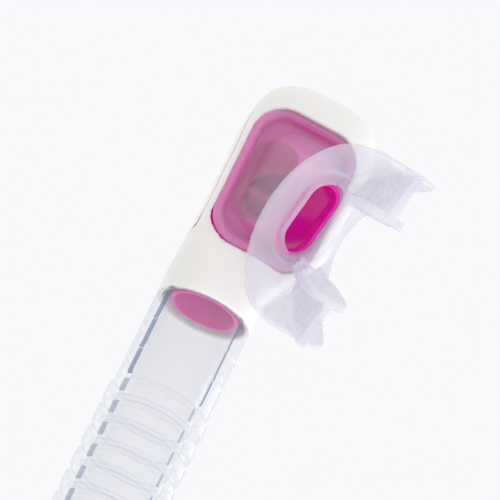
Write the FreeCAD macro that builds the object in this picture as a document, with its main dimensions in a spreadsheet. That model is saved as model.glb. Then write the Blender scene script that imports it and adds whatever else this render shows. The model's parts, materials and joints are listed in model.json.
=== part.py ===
"""Flexible-hose snorkel: mouthpiece chamber, corrugated hose, rigid barrel, strap keeper and dry top.

Row frame: +Z up along the barrel as it is worn, mouthpiece towards -Y, millimetres.
Origin: centre of the barrel's grip land, where a keeper clamps.
"""
import FreeCAD, Part
import math
import os
import re
import Sketcher

Vector = FreeCAD.Vector
Rotation = FreeCAD.Rotation
Placement = FreeCAD.Placement
UP = Vector(0, 0, 1)

doc = FreeCAD.newDocument("snorkel")
sheet = doc.addObject("Spreadsheet::Sheet", "sizes")

SIZES = {
    # rigid barrel
    "barrel_radius": 11.6,
    "barrel_wall": 1.5,
    "barrel_above": 85,
    "barrel_below": 115,
    "grip_radius": 12,
    "grip_length": 30,
    "stop_bead_radius": 13.6,
    "stop_bead_height": 2.4,
    "band_height": 15,
    "band_thickness": 0.8,
    "band_above_grip": 42,
    # corrugated hose
    "hose_bore_radius": 11.2,
    "cuff_radius": 15.3,
    "lower_cuff": 31,
    "upper_cuff": 24,
    "rib_count": 9,
    "rib_pitch": 7.7,
    "rib_radius": 16.1,
    "rib_root_radius": 14.7,
    "cuff_bead_radius": 15.6,
    "cuff_bead_height": 0.9,
    "hose_neck_radius": 13.6,
    "hose_neck_length": 7.5,
    "hose_fit": 0.12,
    "hose_ring_wall": 1.5,
    "hose_ring_height": 11,
    # mouthpiece chamber
    "chamber_length": 78.5,
    "chamber_west": 26,
    "chamber_east": 14.2,
    "chamber_front": 19.5,
    "chamber_back": 15.4,
    "chamber_corner": 11,
    "end_height": 15,
    "end_inset": 12,
    "shoulder_start": 47.5,
    "shoulder_height": 22,
    "collar_radius": 15.4,
    "shell_wall": 2,
    "seam_depth": 8,
    "seam_top": 57,
    "gasket_thickness": 0.7,
    "window_west": 21,
    "window_east": 12.6,
    "window_low": 13.5,
    "window_high": 61,
    "window_corner": 10,
    # translucent duct inside the chamber
    "duct_gap": 0.3,
    "duct_wall": 1.5,
    "duct_bore_radius": 10,
    "duct_outlet_fit": 0.1,
    "outlet_below_rim": 0.8,
    "tray_depth": 5,
    "frame_width": 2.4,
    "frame_thickness": 2,
    "seal_ring_radius": 0.6,
    # mouthpiece
    "port_half_length": 12.6,
    "port_half_width": 6.2,
    "port_side": 14.3,
    "port_forward": 31.4,
    "port_height": 48.9,
    "mouth_tilt": 29.5,
    "mouth_twist": 35.7,
    "mouth_roll": 11.5,
    "neck_wall": 2.3,
    "neck_base_shift": 1.3,
    "neck_base_half_width": 11.8,
    "neck_base_half_height": 18,
    "skirt_thickness": 1.2,
    "flange_reach_side": 30,
    "flange_reach_forward": 34,
    "flange_end": 26.5,
    "flange_up": 17,
    "flange_down": 15.5,
    "flange_corner": 9,
    "flange_thickness": 2.2,
    "tab_inner": 10.2,
    "tab_overlap": 1.2,
    "tab_length": 28,
    "tab_thickness": 3.2,
    "tab_start": 3,
    "tab_spread": 8,
    "lug_half_height": 8.8,
    "lug_thickness": 2.6,
    "lug_length": 18,
    "spigot_wall": 1.2,
    "spigot_fit": 0.25,
    "spigot_setback": 2,
    # purge valve on the back of the chamber
    "purge_height": 30,
    "purge_radius": 12.2,
    "purge_fit": 0.15,
    "purge_land": 2.6,
    "purge_seat_thickness": 3,
    "purge_spoke_width": 2.2,
    "purge_hub_radius": 2.9,
    "purge_stem_radius": 1.3,
    "purge_stem_fit": 0.1,
    "purge_disc_radius": 11.2,
    "purge_disc_thickness": 1,
    "purge_travel": 1.6,
    "purge_cover_radius": 15,
    "purge_cover_height": 4.6,
    "purge_cover_wall": 1.4,
    "purge_slot_width": 2.2,
    "purge_slot_count": 5,
    "screw_radius": 1.4,
    "screw_head_radius": 2.6,
    "screw_head_height": 1.5,
    "screw_length": 8,
    # strap keeper
    "keeper_height": 22,
    "keeper_below_grip": 40,
    "keeper_wall": 2.2,
    "keeper_fit": 0.06,
    "keeper_pad_half": 8,
    "keeper_pad_reach": 17,
    "swivel_radius": 3,
    "swivel_fit": 0.06,
    "swivel_head_radius": 5,
    "swivel_head_height": 1.6,
    "clip_gap": 0.4,
    "clip_plate": 3,
    "clip_slot_width": 5.4,
    "clip_slot_half_height": 14,
    "clip_half_depth": 9,
    "clip_end": 3,
    "clip_outer": 2.4,
    # dry top
    "top_start": 62,
    "top_floor": 3,
    "top_socket_height": 18,
    "top_socket_wall": 3,
    "top_fit": 0.1,
    "top_half_width": 17.6,
    "top_front": 17.6,
    "top_back": 37.4,
    "top_corner": 15.5,
    "top_height": 53,
    "top_dome": 9,
    "top_wall": 1.6,
    "seat_height": 3,
    "seat_bore_radius": 8.8,
    "hinge_back": 16,
    "hinge_over_seat": 5.5,
    "hinge_pin_radius": 1.25,
    "hinge_fit": 0.05,
    "hinge_hub_radius": 3,
    "ear_thickness": 2.4,
    "lever_half_width": 6,
    "lever_thickness": 1.8,
    "float_half_width": 10,
    "float_near": 3.2,
    "float_depth": 9,
    "float_drop": 20,
    "float_height": 16,
    "float_swing": 22,
    "flap_radius": 11,
    "flap_thickness": 1.6,
    "slot_width": 3,
    "slot_height": 13,
    "slot_pitch": 6.5,
    "slots_per_side": 4,
}

for row, (alias, number) in enumerate(SIZES.items(), start=1):
    sheet.set(f"A{row}", alias.replace("_", " "))
    sheet.set(f"B{row}", str(number))
    sheet.setAlias(f"B{row}", alias)
doc.recompute()

ALIAS = re.compile(r"\b(" + "|".join(sorted(SIZES, key=len, reverse=True)) + r")\b")


def linked(text):
    """An expression on the sheet from text that uses bare aliases."""
    return ALIAS.sub(r"sizes.\1", str(text))


def value(text):
    """The present number of such an expression."""
    return float(sheet.evalExpression(linked(text)))


def bind(thing, **expressions):
    """Tie properties to the sheet; Base_z means Placement.Base.z."""
    for name, text in expressions.items():
        target = f".Placement.Base.{name[-1]}" if name.startswith("Base_") else name
        thing.setExpression(target, linked(text))
    return thing


# ---------------------------------------------------------------- helpers for features

def new_body(label):
    body = doc.addObject("PartDesign::Body", label)
    body.Label = label
    return body


def origin_plane(body, role):
    return next(item for item in body.Origin.OriginFeatures if item.Role == role)


def new_sketch(body, name, role, height="0"):
    sketch = body.newObject("Sketcher::SketchObject", name)
    sketch.AttachmentSupport = [(origin_plane(body, role), "")]
    sketch.MapMode = "FlatFace"
    sketch.setExpression(".AttachmentOffset.Base.z", linked(height))
    return sketch


def turned(label, outline, foot="0"):
    """A solid of revolution about Z. outline: (radius, height) expressions, in order round the section."""
    body = new_body(label)
    sketch = new_sketch(body, label + "_section", "XZ_Plane")
    points = [Vector(value(radius), value(height), 0) for radius, height in outline]
    count = len(points)
    for index in range(count):
        sketch.addGeometry(Part.LineSegment(points[index], points[(index + 1) % count]))
    for index in range(count):
        sketch.addConstraint(Sketcher.Constraint("Coincident", index, 2, (index + 1) % count, 1))
    for index, (radius, height) in enumerate(outline):
        for kind, text in (("DistanceX", radius), ("DistanceY", height)):
            number = sketch.addConstraint(Sketcher.Constraint(kind, -1, 1, index, 1, value(text)))
            sketch.setExpression(f"Constraints[{number}]", linked(text))
    revolution = body.newObject("PartDesign::Revolution", label + "_turned")
    revolution.Profile = sketch
    revolution.ReferenceAxis = (sketch, ["V_Axis"])
    revolution.Angle = 360
    body.Tip = revolution
    return bind(body, Base_z=foot)


def rounded_sketch(body, name, height, west, east, front, back, corner):
    """A rounded rectangle across Z: x from -west to +east, y from -front to +back."""
    sketch = new_sketch(body, name, "XY_Plane", height)
    left, right, low, high, radius = (value(text) for text in (west, east, front, back, corner))
    corners = [(right - radius, high - radius, 0), (radius - left, high - radius, 90),
               (radius - left, radius - low, 180), (right - radius, radius - low, 270)]
    for x, y, start in corners:
        circle = Part.Circle(Vector(x, y, 0), UP, radius)
        sketch.addGeometry(Part.ArcOfCircle(circle, math.radians(start), math.radians(start + 90)))
    for index in range(4):
        here = sketch.Geometry[index].EndPoint
        there = sketch.Geometry[(index + 1) % 4].StartPoint
        sketch.addGeometry(Part.LineSegment(here, there))
    add = sketch.addConstraint
    for index in range(4):
        add(Sketcher.Constraint("Tangent", index, 2, 4 + index, 1))
        add(Sketcher.Constraint("Tangent", 4 + index, 2, (index + 1) % 4, 1))
    for index in range(1, 4):
        add(Sketcher.Constraint("Equal", 0, index))
    add(Sketcher.Constraint("Horizontal", 4))
    add(Sketcher.Constraint("Vertical", 5))
    datums = [("Radius", (0,), corner, radius),
              ("DistanceY", (-1, 1, 4, 1), back, high),
              ("DistanceY", (6, 1, -1, 1), front, low),
              ("DistanceX", (5, 1, -1, 1), west, left),
              ("DistanceX", (-1, 1, 7, 1), east, right)]
    for kind, where, text, number in datums:
        index = add(Sketcher.Constraint(kind, *where, number))
        sketch.setExpression(f"Constraints[{index}]", linked(text))
    return sketch


def lofted(label, sections, foot="0", straight=False):
    """A solid through rounded rectangles; each section is (height, west, east, front, back, corner)."""
    body = new_body(label)
    sketches = [rounded_sketch(body, f"{label}_section_{place}", *section)
                for place, section in enumerate(sections)]
    loft = body.newObject("PartDesign::AdditiveLoft", label + "_loft")
    loft.Profile = sketches[0]
    loft.Sections = sketches[1:]
    loft.Ruled = straight
    body.Tip = loft
    return bind(body, Base_z=foot)


def part(kind, name, **expressions):
    thing = doc.addObject(kind, name)
    return bind(thing, **expressions)


def block(name, west, east, south, north, low, high):
    """A box from its six faces' places."""
    return part("Part::Box", name, Length=f"({east}) - ({west})", Width=f"({north}) - ({south})",
                Height=f"({high}) - ({low})", Base_x=west, Base_y=south, Base_z=low)


def rod(name, radius, length, direction=UP, east="0", north="0", low="0"):
    """A cylinder that starts at a point and runs along direction."""
    cylinder = part("Part::Cylinder", name, Radius=radius, Height=length)
    cylinder.Placement = Placement(Vector(), Rotation(UP, direction))
    return bind(cylinder, Base_x=east, Base_y=north, Base_z=low)


def cut(label, base, *tools):
    """base less every tool."""
    for place, tool in enumerate(tools):
        step = doc.addObject("Part::Cut", label if place == len(tools) - 1 else f"{label}_cut_{place}")
        step.Base = base
        step.Tool = tool
        base = step
    base.Label = label
    return base


def fuse(label, *members):
    joined = doc.addObject("Part::MultiFuse", label)
    joined.Shapes = list(members)
    joined.Label = label
    return joined


def common(label, base, tool):
    shared = doc.addObject("Part::Common", label)
    shared.Base = base
    shared.Tool = tool
    shared.Label = label
    return shared


def shaped(label, shape, placement=None):
    """A free-form piece that sketches and primitives don't reach."""
    feature = doc.addObject("Part::Feature", label)
    feature.Shape = shape
    if placement is not None:
        feature.Placement = placement
    feature.Label = label
    return feature


NODES = []


def node(thing):
    NODES.append(thing)
    return thing


# ---------------------------------------------------------------- heights along the snorkel

BARREL_FOOT = "-barrel_below"
HOSE_TOP = "-barrel_below + upper_cuff"
COLLAR_RIM = "-barrel_below - rib_count * rib_pitch - lower_cuff"
CHAMBER_FOOT = f"{COLLAR_RIM} - chamber_length"


# ---------------------------------------------------------------- rigid barrel

def build_barrel():
    bore = "barrel_radius - barrel_wall"
    land_low = "barrel_below - grip_length / 2"
    land_high = "barrel_below + grip_length / 2"
    length = "barrel_below + barrel_above"
    bead_low = "upper_cuff + hose_fit"
    bead_high = "upper_cuff + hose_fit + stop_bead_height"
    node(turned("barrel", [
        (bore, "0"), ("barrel_radius", "0"), ("barrel_radius", bead_low), ("stop_bead_radius", bead_low),
        ("stop_bead_radius", bead_high), ("barrel_radius", bead_high), ("barrel_radius", land_low),
        ("grip_radius", land_low), ("grip_radius", land_high), ("barrel_radius", land_high),
        ("barrel_radius", length), (bore, length)], BARREL_FOOT))
    band = "barrel_radius + band_thickness"
    node(turned("visibility_band", [
        ("barrel_radius", "0"), (band, "0"), (band, "band_height"), ("barrel_radius", "band_height")],
        "band_above_grip"))


def build_hose_ring():
    """The rigid ring that squeezes the hose's upper cuff onto the barrel."""
    inner = "cuff_radius + hose_fit"
    outer = "cuff_radius + hose_fit + hose_ring_wall"
    lip = "barrel_radius + hose_fit"
    top = "hose_ring_height"
    cap = "hose_ring_height + hose_ring_wall"
    seat = "stop_bead_radius + hose_fit"
    node(turned("hose_ring", [
        (inner, "0"), (outer, "0"), (outer, top), ("cuff_radius", cap), (seat, cap), (seat, top),
        (inner, top)], f"{HOSE_TOP} - hose_ring_height + hose_fit + stop_bead_height - hose_ring_wall"))


# ---------------------------------------------------------------- corrugated hose

def build_hose():
    """Clear hose: a neck that plugs into the collar, a plain cuff, ribs, and a cuff over the barrel."""
    socket_bore = "barrel_radius + hose_fit"
    ribs_low = "hose_neck_length + lower_cuff"
    ribs_high = "hose_neck_length + lower_cuff + rib_count * rib_pitch"
    top = f"{ribs_high} + upper_cuff"
    outline = [("hose_bore_radius", "0"), ("hose_neck_radius", "0"),
               ("hose_neck_radius", "hose_neck_length + hose_fit"),
               ("cuff_radius", "hose_neck_length + hose_fit")]
    for third in (1, 2):
        low = f"hose_neck_length + lower_cuff * {third} / 3"
        outline += [("cuff_radius", low), ("cuff_bead_radius", f"{low} + cuff_bead_height / 2"),
                    ("cuff_radius", f"{low} + cuff_bead_height")]
    outline.append(("cuff_radius", ribs_low))
    for rib in range(int(value("rib_count"))):
        start = f"{ribs_low} + rib_pitch * {rib}"
        for radius, share in (("rib_root_radius", 0.12), ("rib_radius", 0.3),
                              ("rib_radius", 0.82), ("rib_root_radius", 1.0)):
            outline.append((radius, f"{start} + rib_pitch * {share}"))
    outline += [("cuff_radius", f"{ribs_high} + cuff_bead_height"), ("cuff_radius", top),
                (socket_bore, top), (socket_bore, f"{ribs_high} - hose_fit"),
                ("hose_bore_radius", f"{ribs_high} - hose_fit")]
    node(turned("flex_hose", outline, f"{COLLAR_RIM} - hose_neck_length"))


# ---------------------------------------------------------------- chamber casing

def chamber_sections(inset, front_inset=None, foot="0"):
    """Sections of the casing, taken in by inset: a rounded end, a straight length and a shoulder."""
    front_inset = inset if front_inset is None else front_inset
    sections = []
    for share in (0.0, 0.15, 0.45, 1.0):
        rounding = 1 - math.sqrt(1 - (1 - share) ** 2)
        taken = f"end_inset * {rounding:.4f}"
        sections.append((f"{foot} + (end_height - ({foot})) * {share}",
                         f"chamber_west - {taken} - ({inset})", f"chamber_east - {taken} * 1.15 - ({inset})",
                         f"chamber_front - {taken} - ({front_inset})",
                         f"chamber_back - {taken} * 0.75 - ({inset})",
                         f"chamber_corner - {taken} * 0.35 - ({inset})"))
    for share in (1 / 3, 2 / 3):
        sections.append((f"end_height + (shoulder_start - end_height) * {share:.4f}", *sections[-1][1:]))
    for share in (0.0, 0.25, 0.75, 1.0):
        kept = f"{1 - share}"
        rise = share if share in (0.0, 1.0) else 0.5 + (share - 0.5) * 0.72
        blend = f"* {kept} + collar_radius * {share}"
        sections.append((f"shoulder_start + shoulder_height * {rise}",
                         f"chamber_west {blend} - ({inset})", f"chamber_east {blend} - ({inset})",
                         f"chamber_front {blend} - ({front_inset}) * {kept} - ({inset}) * {share}",
                         f"chamber_back {blend} - ({inset})",
                         f"chamber_corner * {kept} + (collar_radius - 0.2) * {share} - ({inset})"))
    return sections


CHAMBER_MIDDLE = "(chamber_east - chamber_west) / 2"


def screw_east(side):
    """Where a case screw stands across the back: one column a corner in from each side."""
    return f"{CHAMBER_MIDDLE} + {side} * ((chamber_east + chamber_west) / 2 - chamber_corner + 1)"


def collar_section(height, radius):
    return (height, radius, radius, radius, radius, f"{radius} - 0.2")


def upright_wire(east, west, low, high, radius, y):
    """A rounded rectangle in the plane y, from x = -west to +east and z = low to high."""
    wire = rounded_wire((east + west) / 2, (high - low) / 2, radius)
    wire.rotate(Vector(), Vector(1, 0, 0), 90)
    wire.translate(Vector((east - west) / 2, y, (low + high) / 2))
    return wire


def window_shape(grow, near, far):
    """The window's outline grown by grow, filled from y = far to y = near."""
    wire = upright_wire(value("window_east") + grow, value("window_west") + grow, value("window_low") - grow,
                        value("window_high") + grow, value("window_corner") + grow, far)
    return Part.Face(wire).extrude(Vector(0, near - far, 0))


def rounded_wire(half_x, half_y, radius):
    """A closed rounded rectangle about the origin in the XY plane."""
    edges = []
    spots = [(half_x, half_y), (-half_x, half_y), (-half_x, -half_y), (half_x, -half_y)]
    previous = None
    first = None
    for index, (x, y) in enumerate(spots):
        centre = Vector(x - math.copysign(radius, x), y - math.copysign(radius, y), 0)
        start = math.radians(90 * index)
        arc = Part.ArcOfCircle(Part.Circle(centre, UP, radius), start, start + math.pi / 2).toShape()
        begin, end = arc.Vertexes[0].Point, arc.Vertexes[-1].Point
        if previous is not None and (begin - previous).Length > 1e-6:
            edges.append(Part.LineSegment(previous, begin).toShape())
        first = begin if first is None else first
        edges.append(arc)
        previous = end
    if (first - previous).Length > 1e-6:
        edges.append(Part.LineSegment(previous, first).toShape())
    return Part.Wire(edges)


def build_chamber():
    casing = lofted("casing_form", chamber_sections("0")
                    + [collar_section("chamber_length", "collar_radius")])
    cavity = lofted("cavity_form", chamber_sections("shell_wall", foot="shell_wall"))
    neck_bore = rod("neck_bore", "hose_neck_radius + hose_fit", "chamber_length",
                    low="shoulder_start + shoulder_height - duct_wall")
    hollow = cut("hollow_casing", casing, cavity, neck_bore)

    seam = "-seam_depth"
    far = "2 * chamber_west"
    rear_gap = block("rear_gap", f"-{far}", far, seam, far, "-end_height", "seam_top")
    rear_room = block("rear_room", f"-{far}", far, "-seam_depth + gasket_thickness", far,
                      "-2 * end_height", "seam_top - gasket_thickness")
    reach = value("chamber_front")
    window = shaped("window_cut", window_shape(0, -reach * 0.5, -reach * 1.5))
    purge_hole = rod("purge_hole", "purge_radius + purge_fit", "chamber_back", Vector(0, 1, 0),
                     east=CHAMBER_MIDDLE, north="chamber_back / 2", low="purge_height")
    front = cut("chamber_shell", hollow, rear_gap, window)
    bind(front, Base_z=CHAMBER_FOOT)
    node(front)

    between = cut("seam_gap", rear_gap, rear_room)
    gasket = common("seam_gasket", hollow, between)
    node(bind(gasket, Base_z=CHAMBER_FOOT))

    rear_full = common("rear_full", hollow, rear_room)
    screw_holes = fuse("screw_holes", *[
        rod(f"screw_hole_{side}_{place}", "screw_radius", "2 * chamber_back", Vector(0, 1, 0),
            east=screw_east(side), north="0", low=height)
        for side in (-1, 1) for place, height in enumerate(("end_height - 3", "seam_top - 7"))])
    rear = cut("rear_shell", rear_full, purge_hole, screw_holes)
    node(bind(rear, Base_z=CHAMBER_FOOT))
    return casing, purge_hole, screw_holes


def build_duct(purge_hole, screw_holes):
    """The translucent duct inside the casing, with a tray behind the window and a mouthpiece spigot."""
    outside = "shell_wall + duct_gap"
    inside = "shell_wall + duct_gap + duct_wall"
    form = lofted("duct_form", chamber_sections(outside, "tray_depth", outside))
    room = lofted("duct_room", chamber_sections(inside, "tray_depth + duct_wall", inside))
    throat = rod("duct_throat", "duct_bore_radius", "chamber_length", low="shoulder_start")
    posts = fuse("screw_posts", *[
        rod(f"screw_post_{side}_{place}", "screw_radius + duct_wall",
            "chamber_back - shell_wall - duct_gap - 1", Vector(0, 1, 0), east=screw_east(side),
            north="0", low=height)
        for side in (-1, 1) for place, height in enumerate(("end_height - 3", "seam_top - 7"))])
    shoulder_end = "shoulder_start + shoulder_height"
    outlet = rod("duct_outlet", "hose_bore_radius - duct_outlet_fit",
                 f"chamber_length - outlet_below_rim - ({shoulder_end}) + duct_wall",
                 low=f"{shoulder_end} - duct_wall")
    plate = rod("duct_end_plate", "collar_radius - shell_wall - duct_gap - duct_wall / 2", "duct_wall",
                low=f"{shoulder_end} - duct_wall")
    return form, room, throat, purge_hole, fuse("duct_inserts", posts, outlet, plate), screw_holes


# ---------------------------------------------------------------- mouthpiece

def mouth_placement():
    """Local frame: origin at the port's centre, +Z to the wearer, +Y along the bite away from the hose."""
    straight = Rotation(Vector(-1, 0, 0), Vector(0, 0, -1), Vector(0, -1, 0), "ZXY")
    tilt = Rotation(Vector(1, 0, 0), -value("mouth_tilt"))
    twist = Rotation(UP, -value("mouth_twist"))
    roll = Rotation(UP, value("mouth_roll"))
    centre = Vector(-value("port_side"), -value("port_forward"), value("port_height"))
    return Placement(centre, twist * tilt * straight * roll)


def oval_wire(half_x, half_y):
    """A stadium with its long way on Y."""
    return rounded_wire(half_x, half_y, half_x - 0.01)


def build_mouthpiece(duct):
    form, room, throat, purge_hole, inserts, screw_holes = duct
    frame = mouth_placement()
    half_u = value("port_half_length")
    half_v = value("port_half_width")
    wall = value("neck_wall")
    tray = -(value("chamber_front") - value("tray_depth"))
    middle = (value("window_low") + value("window_high")) / 2
    side = (value("window_east") - value("window_west")) / 2 - value("neck_base_shift")

    def across(half_x, half_z, radius, y):
        wire = rounded_wire(half_x, half_z, radius)
        wire.rotate(Vector(), Vector(1, 0, 0), 90)
        wire.rotate(Vector(), Vector(0, 1, 0), 180)
        wire.translate(Vector(side, y, middle))
        return wire

    def along(half_x, half_y, depth):
        wire = oval_wire(half_x, half_y)
        wire.translate(Vector(0, 0, depth))
        wire.Placement = frame.multiply(wire.Placement)
        return wire

    skirt_front = tray - value("skirt_thickness") - value("spigot_fit")
    base_x = value("neck_base_half_width")
    base_z = value("neck_base_half_height")
    corner = base_x - 3
    bend = -6.5

    def neck_form(inset, start, end):
        """The neck's outside taken in by inset: straight out of the tray, then over to the port."""
        flare = wall + (0.6 - end) / (0.6 - bend) - inset
        return Part.makeLoft([across(base_x - inset, base_z - inset, corner - inset, start),
                              across(base_x - inset, base_z - inset, corner - inset, skirt_front - 2.5),
                              along(half_v + wall + 1 - inset, half_u + wall + 1 - inset, bend),
                              along(half_v + flare, half_u + flare, end)], True, True)

    neck = neck_form(0, skirt_front + 0.2, 0.6)
    neck_room = neck_form(wall, tray + 2, 2)
    skirt = window_shape(-value("frame_width") - 0.2, tray - value("spigot_fit"), skirt_front)

    def arch(side, forward):
        """A block, as wide as the flange and more, inside an oval that follows the teeth."""
        oval = Part.Ellipse(Vector(0, 0, 0), max(side, forward), min(side, forward)).toShape()
        if forward > side:
            oval.rotate(Vector(), UP, 90)
        oval.rotate(Vector(), Vector(0, 1, 0), 90)
        oval.rotate(Vector(), Vector(1, 0, 0), 90)
        oval.translate(Vector(-2 * value("flange_up"), 0, value("flange_reach_forward")))
        return Part.Face(Part.Wire([oval])).extrude(Vector(4 * value("flange_up"), 0, 0))

    thick = value("flange_thickness")
    side_reach, forward_reach = value("flange_reach_side"), value("flange_reach_forward")
    teeth_room = arch(side_reach, forward_reach)
    shell = arch(side_reach + thick, forward_reach + thick).cut(teeth_room)
    up, down = value("flange_up"), value("flange_down")
    outline = rounded_wire((up + down) / 2, value("flange_end"), value("flange_corner"))
    outline.rotate(Vector(), Vector(1, 0, 0), 90)
    outline.translate(Vector((down - up) / 2, 2 * side_reach, 0))
    flange = shell.common(Part.Face(outline).extrude(Vector(0, -4 * side_reach, 0)))

    tabs = []
    for side in (-1, 1):
        inner = value("tab_inner")
        length, start = value("tab_length"), value("tab_start")
        half_thick = value("tab_thickness") / 2
        plate = Part.makeBox(2 * half_thick, 2 * side_reach, length, Vector(-half_thick, inner, start))
        tall, lug_thick = value("lug_half_height"), value("lug_thickness")
        lug_wire = rounded_wire(tall, value("lug_length") / 2, 6)
        lug_wire.rotate(Vector(), Vector(1, 0, 0), 90)
        lug_wire.translate(Vector(0, inner + lug_thick, start + length - value("lug_length") / 2))
        lug = Part.Face(lug_wire).extrude(Vector(0, -lug_thick, 0))
        plate.rotate(Vector(0, inner, start), Vector(1, 0, 0), -value("tab_spread"))
        lug.rotate(Vector(0, inner, start), Vector(1, 0, 0), -value("tab_spread"))
        gum_room = arch(side_reach + value("tab_overlap"), forward_reach + value("tab_overlap"))
        tab = plate.common(gum_room).fuse(lug)
        if side < 0:
            tab = tab.mirror(Vector(), Vector(0, 1, 0))
        tabs.append(tab)
    soft = flange.fuse(tabs)
    soft.Placement = frame
    bore = Part.Face(oval_wire(half_v, half_u)).extrude(Vector(0, 0, 12))
    bore.translate(Vector(0, 0, -4))
    bore.Placement = frame.multiply(bore.Placement)
    soft = soft.cut(bore)
    body = neck.fuse(skirt).cut(neck_room).fuse(soft).cut(bore).removeSplitter()
    mouthpiece = shaped("mouthpiece", body)
    node(bind(mouthpiece, Base_z=CHAMBER_FOOT))

    clear = wall + value("spigot_fit")
    setback = -value("spigot_setback")
    spigot = neck_form(clear, tray + 0.4, setback).common(neck_room)
    passage = neck_form(clear + value("spigot_wall"), tray + 4, setback + 0.5)
    spigot_form = shaped("spigot_form", spigot)
    spigot_room = shaped("spigot_room", passage)
    walls = cut("duct_walls", fuse("duct_outside", form, spigot_form), room, purge_hole,
                spigot_room, shaped("frame_seat", frame_ring()))
    duct = cut("inner_duct", fuse("duct_with_posts", walls, inserts), screw_holes, throat)
    node(bind(duct, Base_z=CHAMBER_FOOT))


def frame_ring():
    """The ring that holds the mouthpiece's skirt down on the tray."""
    tray = -(value("chamber_front") - value("tray_depth"))
    front = tray - value("frame_thickness") - value("spigot_fit")
    ring = window_shape(-0.15, tray - value("spigot_fit"), front)
    return ring.cut(window_shape(-value("frame_width"), tray, front - 1))


def build_frame():
    """The skirt's frame in the window, and the seal between the duct and the hose."""
    node(bind(shaped("skirt_frame", frame_ring()), Base_z=CHAMBER_FOOT))
    seal = part("Part::Torus", "collar_seal", Radius1="hose_neck_radius - seal_ring_radius - 0.4",
                Radius2="seal_ring_radius")
    height = f"{COLLAR_RIM} - hose_neck_length - seal_ring_radius - 0.2"
    node(bind(seal, Base_z=height))


# ---------------------------------------------------------------- purge valve

def build_purge(casing):
    """Seat with spokes, a flap disc that lifts off it, and a slotted cover, stacked outwards along +Y."""
    back = Vector(0, 1, 0)
    face = "chamber_back"
    seat_low = "chamber_back - purge_seat_thickness"
    seat = rod("seat_blank", "purge_radius", "purge_seat_thickness", back, north=seat_low)
    well = rod("seat_well", "purge_radius - purge_land", "purge_seat_thickness * 3", back,
               north=f"{seat_low} - purge_seat_thickness")
    rim = cut("seat_rim", seat, well)
    hub = rod("seat_hub", "purge_hub_radius", "purge_seat_thickness", back, north=seat_low)
    reach = "purge_radius - purge_land / 2"
    thin = "purge_spoke_width / 2"
    flat = block("spoke_flat", f"-({reach})", reach, seat_low, face, f"-{thin}", thin)
    upright = block("spoke_upright", f"-{thin}", thin, seat_low, face, f"-({reach})", reach)
    stem_hole = rod("stem_hole", "purge_stem_radius + purge_stem_fit", "purge_seat_thickness * 3", back,
                    north=f"{seat_low} - purge_seat_thickness")
    seat_all = cut("purge_seat", fuse("seat_blank_all", rim, hub, flat, upright), stem_hole)
    node(bind(seat_all, Base_x=CHAMBER_MIDDLE, Base_z=f"{CHAMBER_FOOT} + purge_height"))

    lift = "chamber_back + 0.1"
    disc = rod("disc_plate", "purge_disc_radius", "purge_disc_thickness", back, north=lift)
    stem_length = "purge_seat_thickness + purge_travel + 0.5 + 0.1"
    stem = rod("disc_stem", "purge_stem_radius", stem_length, back, north=f"{lift} - ({stem_length})")
    bulb = rod("disc_bulb", "purge_stem_radius + 0.7", "1", back,
               north=f"{lift} - ({stem_length}) - 1")
    node(bind(fuse("purge_disc", disc, stem, bulb), Base_x=CHAMBER_MIDDLE,
              Base_z=f"{CHAMBER_FOOT} + purge_height"))

    cup = rod("cover_cup", "purge_cover_radius", "purge_cover_height + chamber_back / 2", back,
              east=CHAMBER_MIDDLE, north="chamber_back / 2", low="purge_height")
    rounded = doc.addObject("Part::Fillet", "cover_rounded")
    rounded.Base = cup
    doc.recompute()
    rim_edge = max(range(len(cup.Shape.Edges)),
                   key=lambda index: cup.Shape.Edges[index].CenterOfMass.y) + 1
    rounded.Edges = [(rim_edge, value("purge_cover_wall") + 0.4, value("purge_cover_wall") + 0.4)]
    hollow = rod("cover_hollow", "purge_cover_radius - purge_cover_wall",
                 "purge_cover_height - purge_cover_wall + chamber_back / 2", back,
                 east=CHAMBER_MIDDLE, north="chamber_back / 2", low="purge_height")
    slots = []
    for place in range(int(value("purge_slot_count"))):
        offset = f"({place} - (purge_slot_count - 1) / 2) * purge_slot_width * 2"
        reach = "purge_cover_radius * 0.6"
        slots.append(block(f"cover_slot_{place}", f"{CHAMBER_MIDDLE} - {reach}",
                           f"{CHAMBER_MIDDLE} + {reach}", face, "chamber_back + 2 * purge_cover_height",
                           f"purge_height + {offset} - purge_slot_width / 2",
                           f"purge_height + {offset} + purge_slot_width / 2"))
    cover = cut("purge_cover", rounded, hollow, casing, fuse("cover_slots", *slots))
    node(bind(cover, Base_z=CHAMBER_FOOT))


def build_case_screws():
    """Four screws that pull the rear shell onto the duct's posts."""
    back = Vector(0, 1, 0)
    pieces = []
    for side in (-1, 1):
        for place, height in enumerate(("end_height - 3", "seam_top - 7")):
            east = screw_east(side)
            name = f"case_screw_{side}_{place}"
            shaft = rod(name + "_shaft", "screw_radius - 0.1", "screw_length + 0.1", back, east=east,
                        north="chamber_back - screw_length", low=height)
            head = rod(name + "_head", "screw_head_radius", "screw_head_height", back, east=east,
                       north="chamber_back + 0.05", low=height)
            pieces += [shaft, head]
    node(bind(fuse("case_screws", *pieces), Base_z=CHAMBER_FOOT))


# ---------------------------------------------------------------- strap keeper

KEEPER_MIDDLE = "-keeper_below_grip"


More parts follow.
